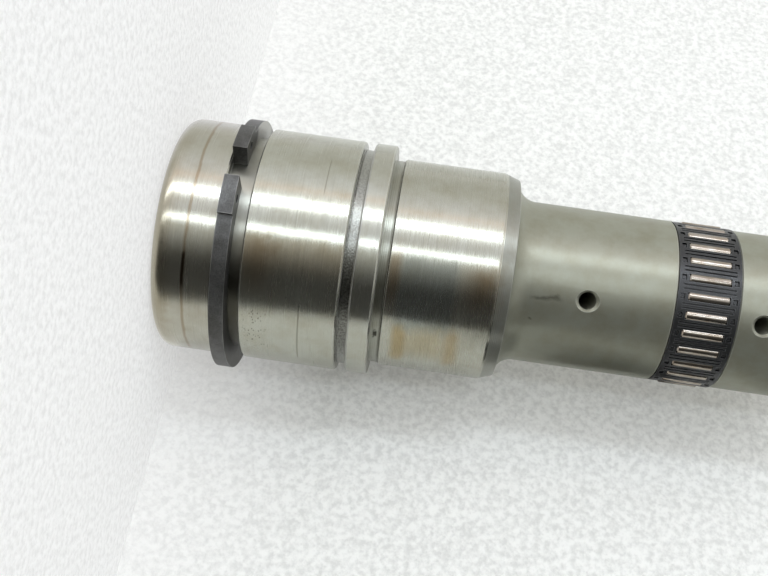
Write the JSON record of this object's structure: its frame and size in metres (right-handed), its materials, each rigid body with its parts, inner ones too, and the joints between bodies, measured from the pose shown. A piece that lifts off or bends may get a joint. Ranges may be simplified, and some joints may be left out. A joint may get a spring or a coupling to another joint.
{
  "type": "transmission main shaft",
  "caption": "Stepped steel gearbox main shaft with ground journals, a snap ring in its groove, countersunk oil holes and a caged needle bearing set flush in the spindle.",
  "frame": {"origin": "centre of the large end's flat face", "axes": "+Z along the shaft's axis, from the large end to the tail"},
  "size_m": [0.0599, 0.0609, 0.1622],
  "materials": {
    "ground_steel": "ground, with fine circumferential marks",
    "phosphated_spring_steel": "dark grey phosphate, satin",
    "black_cage_plastic": "moulded, oiled",
    "polished_bearing_steel": "polished"
  },
  "bodies": {
    "shaft": {"main_shaft": "ground_steel", "snap_ring": "phosphated_spring_steel"},
    "cage": {"needle_cage": "black_cage_plastic"},
    "needle_01": {"needle_01": "polished_bearing_steel"},
    "needle_02": {"needle_02": "polished_bearing_steel"},
    "needle_03": {"needle_03": "polished_bearing_steel"},
    "needle_04": {"needle_04": "polished_bearing_steel"},
    "needle_05": {"needle_05": "polished_bearing_steel"},
    "needle_06": {"needle_06": "polished_bearing_steel"},
    "needle_07": {"needle_07": "polished_bearing_steel"},
    "needle_08": {"needle_08": "polished_bearing_steel"},
    "needle_09": {"needle_09": "polished_bearing_steel"},
    "needle_10": {"needle_10": "polished_bearing_steel"},
    "needle_11": {"needle_11": "polished_bearing_steel"},
    "needle_12": {"needle_12": "polished_bearing_steel"},
    "needle_13": {"needle_13": "polished_bearing_steel"},
    "needle_14": {"needle_14": "polished_bearing_steel"},
    "needle_15": {"needle_15": "polished_bearing_steel"},
    "needle_16": {"needle_16": "polished_bearing_steel"},
    "needle_17": {"needle_17": "polished_bearing_steel"},
    "needle_18": {"needle_18": "polished_bearing_steel"},
    "needle_19": {"needle_19": "polished_bearing_steel"},
    "needle_20": {"needle_20": "polished_bearing_steel"},
    "needle_21": {"needle_21": "polished_bearing_steel"},
    "needle_22": {"needle_22": "polished_bearing_steel"},
    "needle_23": {"needle_23": "polished_bearing_steel"},
    "needle_24": {"needle_24": "polished_bearing_steel"},
    "needle_25": {"needle_25": "polished_bearing_steel"},
    "needle_26": {"needle_26": "polished_bearing_steel"},
    "needle_27": {"needle_27": "polished_bearing_steel"},
    "needle_28": {"needle_28": "polished_bearing_steel"}
  },
  "joints": [
    {"name": "cage_spin", "type": "hinge", "parent": "shaft", "child": "cage", "pos_m": [0, 0, 0.1226], "axis": [0, 0, 1], "continuous": true},
    {"name": "needle_01_spin", "type": "hinge", "parent": "cage", "child": "needle_01", "pos_m": [-0.00157, -0.01793, 0.1226], "axis": [0, 0, 1], "continuous": true},
    {"name": "needle_02_spin", "type": "hinge", "parent": "cage", "child": "needle_02", "pos_m": [0.00246, -0.01783, 0.1226], "axis": [0, 0, 1], "continuous": true},
    {"name": "needle_03_spin", "type": "hinge", "parent": "cage", "child": "needle_03", "pos_m": [0.00637, -0.01684, 0.1226], "axis": [0, 0, 1], "continuous": true},
    {"name": "needle_04_spin", "type": "hinge", "parent": "cage", "child": "needle_04", "pos_m": [0.00995, -0.015, 0.1226], "axis": [0, 0, 1], "continuous": true},
    {"name": "needle_05_spin", "type": "hinge", "parent": "cage", "child": "needle_05", "pos_m": [0.01304, -0.01241, 0.1226], "axis": [0, 0, 1], "continuous": true},
    {"name": "needle_06_spin", "type": "hinge", "parent": "cage", "child": "needle_06", "pos_m": [0.01547, -0.00919, 0.1226], "axis": [0, 0, 1], "continuous": true},
    {"name": "needle_07_spin", "type": "hinge", "parent": "cage", "child": "needle_07", "pos_m": [0.01713, -0.00552, 0.1226], "axis": [0, 0, 1], "continuous": true},
    {"name": "needle_08_spin", "type": "hinge", "parent": "cage", "child": "needle_08", "pos_m": [0.01793, -0.00157, 0.1226], "axis": [0, 0, 1], "continuous": true},
    {"name": "needle_09_spin", "type": "hinge", "parent": "cage", "child": "needle_09", "pos_m": [0.01783, 0.00246, 0.1226], "axis": [0, 0, 1], "continuous": true},
    {"name": "needle_10_spin", "type": "hinge", "parent": "cage", "child": "needle_10", "pos_m": [0.01684, 0.00637, 0.1226], "axis": [0, 0, 1], "continuous": true},
    {"name": "needle_11_spin", "type": "hinge", "parent": "cage", "child": "needle_11", "pos_m": [0.015, 0.00995, 0.1226], "axis": [0, 0, 1], "continuous": true},
    {"name": "needle_12_spin", "type": "hinge", "parent": "cage", "child": "needle_12", "pos_m": [0.01241, 0.01304, 0.1226], "axis": [0, 0, 1], "continuous": true},
    {"name": "needle_13_spin", "type": "hinge", "parent": "cage", "child": "needle_13", "pos_m": [0.00919, 0.01547, 0.1226], "axis": [0, 0, 1], "continuous": true},
    {"name": "needle_14_spin", "type": "hinge", "parent": "cage", "child": "needle_14", "pos_m": [0.00552, 0.01713, 0.1226], "axis": [0, 0, 1], "continuous": true},
    {"name": "needle_15_spin", "type": "hinge", "parent": "cage", "child": "needle_15", "pos_m": [0.00157, 0.01793, 0.1226], "axis": [0, 0, 1], "continuous": true},
    {"name": "needle_16_spin", "type": "hinge", "parent": "cage", "child": "needle_16", "pos_m": [-0.00246, 0.01783, 0.1226], "axis": [0, 0, 1], "continuous": true},
    {"name": "needle_17_spin", "type": "hinge", "parent": "cage", "child": "needle_17", "pos_m": [-0.00637, 0.01684, 0.1226], "axis": [0, 0, 1], "continuous": true},
    {"name": "needle_18_spin", "type": "hinge", "parent": "cage", "child": "needle_18", "pos_m": [-0.00995, 0.015, 0.1226], "axis": [0, 0, 1], "continuous": true},
    {"name": "needle_19_spin", "type": "hinge", "parent": "cage", "child": "needle_19", "pos_m": [-0.01304, 0.01241, 0.1226], "axis": [0, 0, 1], "continuous": true},
    {"name": "needle_20_spin", "type": "hinge", "parent": "cage", "child": "needle_20", "pos_m": [-0.01547, 0.00919, 0.1226], "axis": [0, 0, 1], "continuous": true},
    {"name": "needle_21_spin", "type": "hinge", "parent": "cage", "child": "needle_21", "pos_m": [-0.01713, 0.00552, 0.1226], "axis": [0, 0, 1], "continuous": true},
    {"name": "needle_22_spin", "type": "hinge", "parent": "cage", "child": "needle_22", "pos_m": [-0.01793, 0.00157, 0.1226], "axis": [0, 0, 1], "continuous": true},
    {"name": "needle_23_spin", "type": "hinge", "parent": "cage", "child": "needle_23", "pos_m": [-0.01783, -0.00246, 0.1226], "axis": [0, 0, 1], "continuous": true},
    {"name": "needle_24_spin", "type": "hinge", "parent": "cage", "child": "needle_24", "pos_m": [-0.01684, -0.00637, 0.1226], "axis": [0, 0, 1], "continuous": true},
    {"name": "needle_25_spin", "type": "hinge", "parent": "cage", "child": "needle_25", "pos_m": [-0.015, -0.00995, 0.1226], "axis": [0, 0, 1], "continuous": true},
    {"name": "needle_26_spin", "type": "hinge", "parent": "cage", "child": "needle_26", "pos_m": [-0.01241, -0.01304, 0.1226], "axis": [0, 0, 1], "continuous": true},
    {"name": "needle_27_spin", "type": "hinge", "parent": "cage", "child": "needle_27", "pos_m": [-0.00919, -0.01547, 0.1226], "axis": [0, 0, 1], "continuous": true},
    {"name": "needle_28_spin", "type": "hinge", "parent": "cage", "child": "needle_28", "pos_m": [-0.00552, -0.01713, 0.1226], "axis": [0, 0, 1], "continuous": true}
  ],
  "couplings": [
    {"joint": "needle_01_spin", "follows": "cage_spin", "ratio": 13.4},
    {"joint": "needle_02_spin", "follows": "cage_spin", "ratio": 13.4},
    {"joint": "needle_03_spin", "follows": "cage_spin", "ratio": 13.4},
    {"joint": "needle_04_spin", "follows": "cage_spin", "ratio": 13.4},
    {"joint": "needle_05_spin", "follows": "cage_spin", "ratio": 13.4},
    {"joint": "needle_06_spin", "follows": "cage_spin", "ratio": 13.4},
    {"joint": "needle_07_spin", "follows": "cage_spin", "ratio": 13.4},
    {"joint": "needle_08_spin", "follows": "cage_spin", "ratio": 13.4},
    {"joint": "needle_09_spin", "follows": "cage_spin", "ratio": 13.4},
    {"joint": "needle_10_spin", "follows": "cage_spin", "ratio": 13.4},
    {"joint": "needle_11_spin", "follows": "cage_spin", "ratio": 13.4},
    {"joint": "needle_12_spin", "follows": "cage_spin", "ratio": 13.4},
    {"joint": "needle_13_spin", "follows": "cage_spin", "ratio": 13.4},
    {"joint": "needle_14_spin", "follows": "cage_spin", "ratio": 13.4},
    {"joint": "needle_15_spin", "follows": "cage_spin", "ratio": 13.4},
    {"joint": "needle_16_spin", "follows": "cage_spin", "ratio": 13.4},
    {"joint": "needle_17_spin", "follows": "cage_spin", "ratio": 13.4},
    {"joint": "needle_18_spin", "follows": "cage_spin", "ratio": 13.4},
    {"joint": "needle_19_spin", "follows": "cage_spin", "ratio": 13.4},
    {"joint": "needle_20_spin", "follows": "cage_spin", "ratio": 13.4},
    {"joint": "needle_21_spin", "follows": "cage_spin", "ratio": 13.4},
    {"joint": "needle_22_spin", "follows": "cage_spin", "ratio": 13.4},
    {"joint": "needle_23_spin", "follows": "cage_spin", "ratio": 13.4},
    {"joint": "needle_24_spin", "follows": "cage_spin", "ratio": 13.4},
    {"joint": "needle_25_spin", "follows": "cage_spin", "ratio": 13.4},
    {"joint": "needle_26_spin", "follows": "cage_spin", "ratio": 13.4},
    {"joint": "needle_27_spin", "follows": "cage_spin", "ratio": 13.4},
    {"joint": "needle_28_spin", "follows": "cage_spin", "ratio": 13.4}
  ]
}
